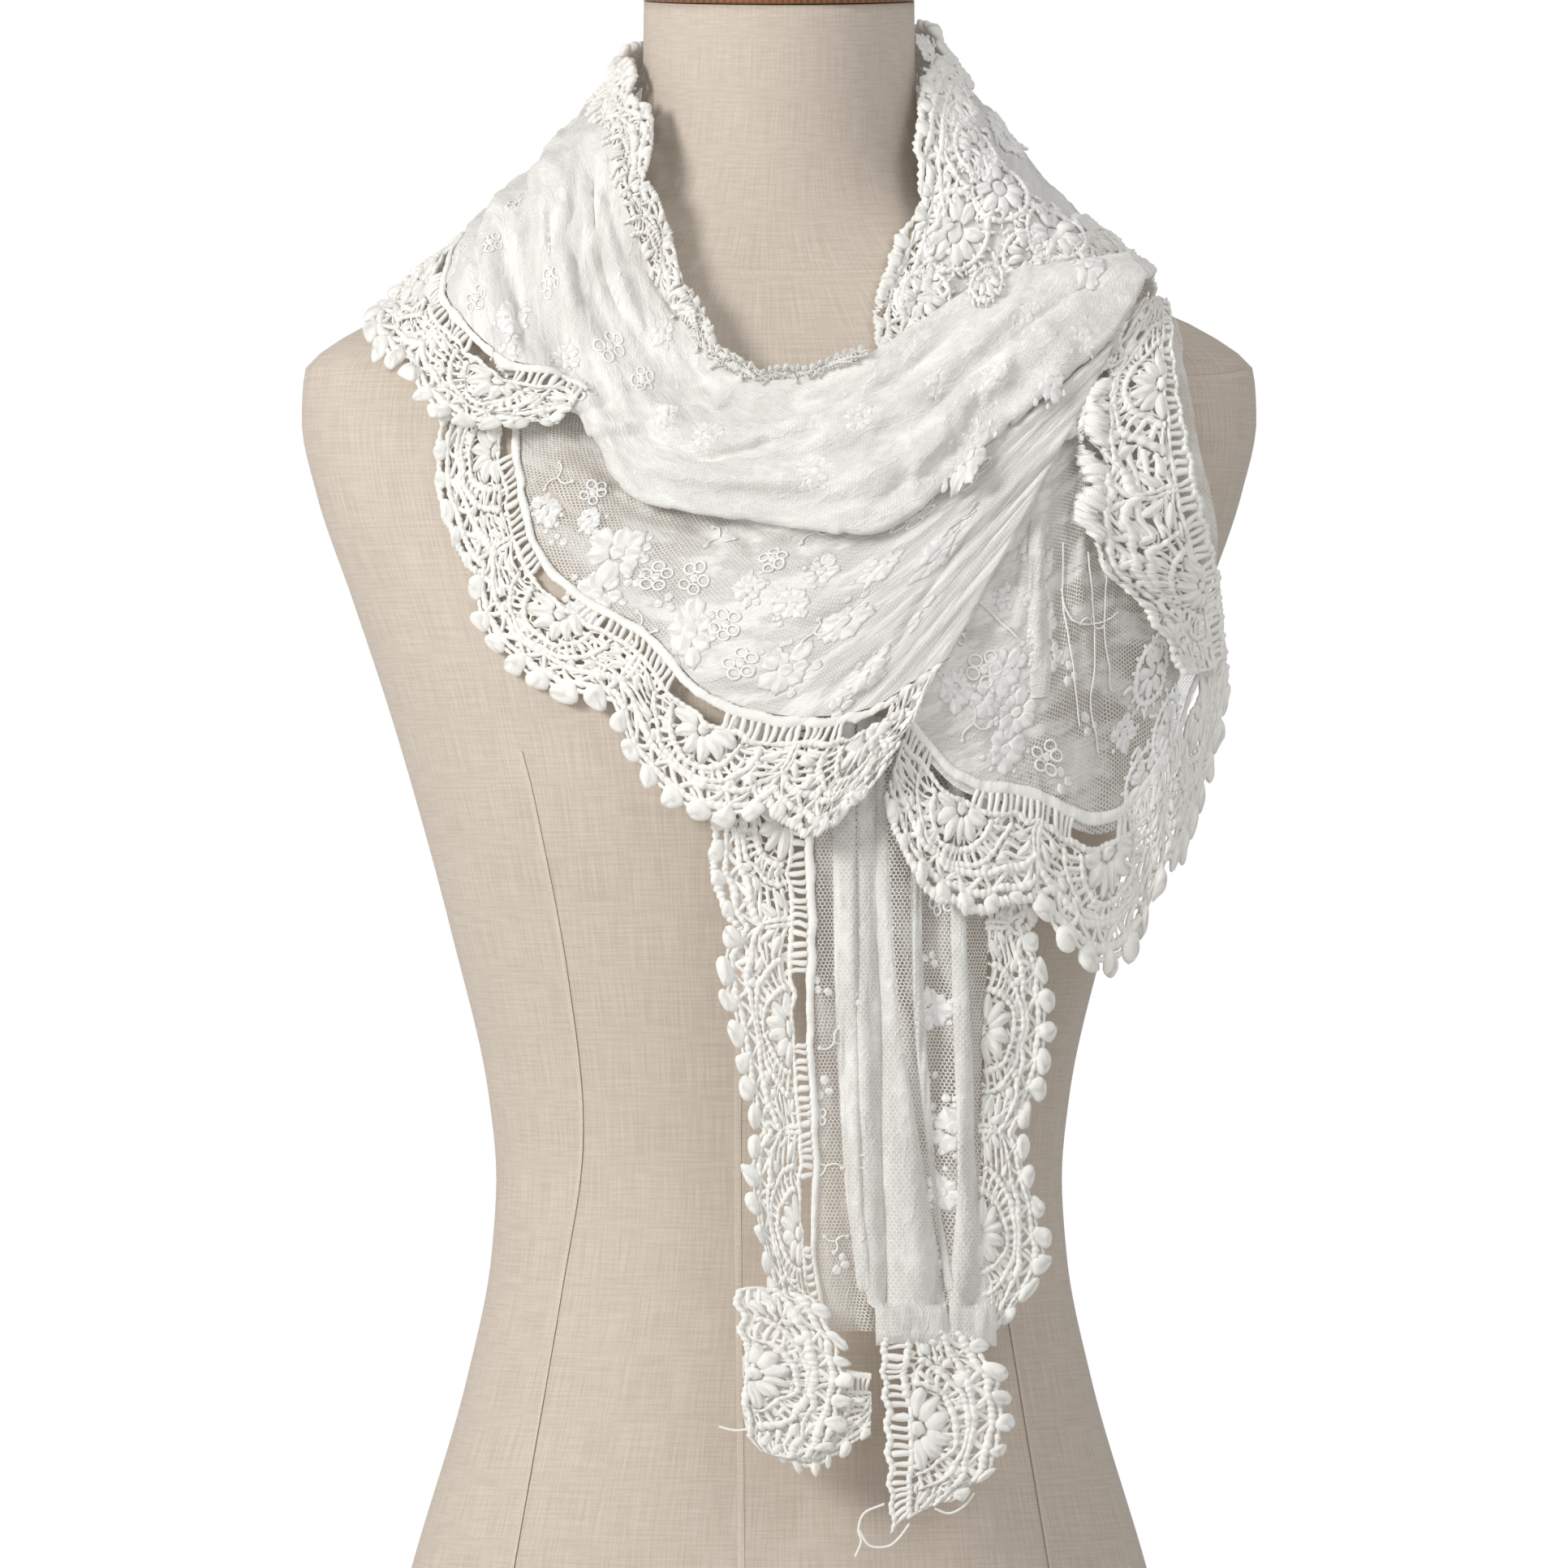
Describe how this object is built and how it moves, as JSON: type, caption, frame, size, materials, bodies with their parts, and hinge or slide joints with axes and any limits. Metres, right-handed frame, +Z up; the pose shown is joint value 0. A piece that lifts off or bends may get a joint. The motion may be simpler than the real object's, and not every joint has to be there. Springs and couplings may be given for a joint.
{
  "type": "lace shawl on a dress form",
  "caption": "Long net shawl with a scalloped crochet border, wound round the neck of a limbless linen dress form, with a swept fold on the chest and a tail down the front.",
  "frame": {"origin": "centre of the dress form's flat base, at the level of what it stands on", "axes": "+Z up along the neck, -Y to the front of the chest, +X to the viewer's right"},
  "size_m": [0.388, 0.2546, 0.7482],
  "materials": {
    "linen": "matt woven linen",
    "wood": "stained and waxed",
    "net": "fine white net with raised white stitching",
    "lace": "matt white cotton crochet"
  },
  "bodies": {
    "root": {"dress_form": "linen", "neck_cap": "wood", "back_net": "net", "back_neck_lace": "lace", "back_outer_lace": "lace", "right_front_net": "net", "right_front_neck_lace": "lace", "right_front_outer_lace": "lace", "left_front_net": "net", "left_front_neck_lace": "lace", "left_front_outer_lace": "lace", "cowl_net": "net", "cowl_neck_lace": "lace", "bib_net": "net", "bib_lace": "lace", "drop_net": "net", "drop_lace": "lace", "drop_side_lace": "lace", "tail_net": "net", "tail_left_lace": "lace", "tail_right_lace": "lace", "tail_end_left_lace": "lace", "tail_end_right_lace": "lace"}
  },
  "joints": []
}
